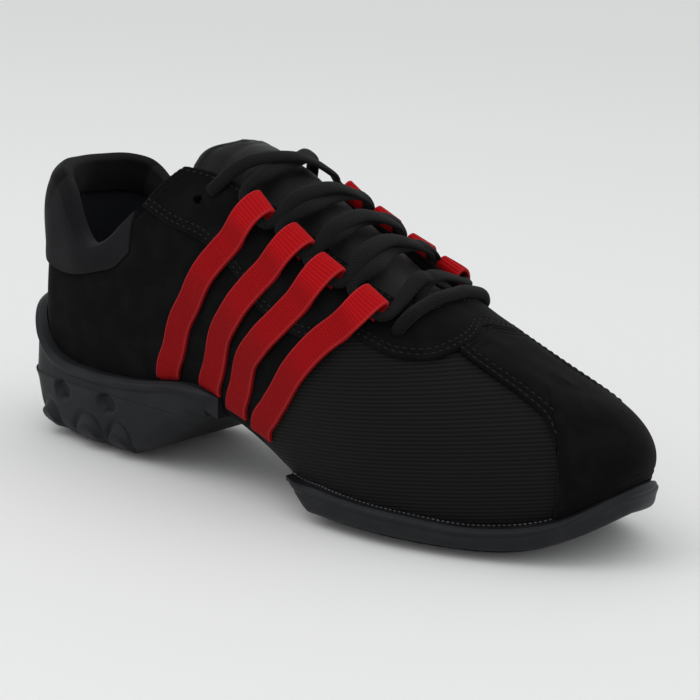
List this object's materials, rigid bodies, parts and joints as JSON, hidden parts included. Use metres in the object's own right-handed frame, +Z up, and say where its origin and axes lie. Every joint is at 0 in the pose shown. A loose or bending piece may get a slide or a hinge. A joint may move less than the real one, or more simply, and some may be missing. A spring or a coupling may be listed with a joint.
{
  "type": "dance sneaker",
  "caption": "Low split-sole dance sneaker for the right foot, with a padded collar, a raised heel unit, webbing lace loops down each side and a flat lace.",
  "frame": {"origin": "middle of the flat tread under the heel, on the floor", "axes": "+X along the foot to the toe, +Y to the inner side of the foot, +Z up"},
  "size_m": [0.2594, 0.0985, 0.1204],
  "materials": {
    "mesh_fabric": "fine cross-ribbed black mesh with a slight sheen",
    "suede": "matt black suede with a short nap",
    "collar_fabric": "matt dark grey knit over foam",
    "tongue_fabric": "black satin-like fabric over thin padding",
    "insole_fabric": "matt black lining cloth",
    "rubber": "dark grey rubber, satin",
    "webbing": "bright red ribbed webbing",
    "lace": "black braided oval lace"
  },
  "bodies": {
    "root": {"upper": "mesh_fabric", "collar_cuff": "collar_fabric", "eyestay": "suede", "toe_panel": "suede", "tongue": "tongue_fabric", "insole": "insole_fabric", "heel_sole": "rubber", "forefoot_sole": "rubber", "strap_lateral_1": "webbing", "strap_lateral_2": "webbing", "strap_lateral_3": "webbing", "strap_lateral_4": "webbing", "strap_medial_1": "webbing", "strap_medial_2": "webbing", "strap_medial_3": "webbing", "strap_medial_4": "webbing", "lace_crossings": "lace", "lace_bar": "lace"}
  },
  "joints": []
}
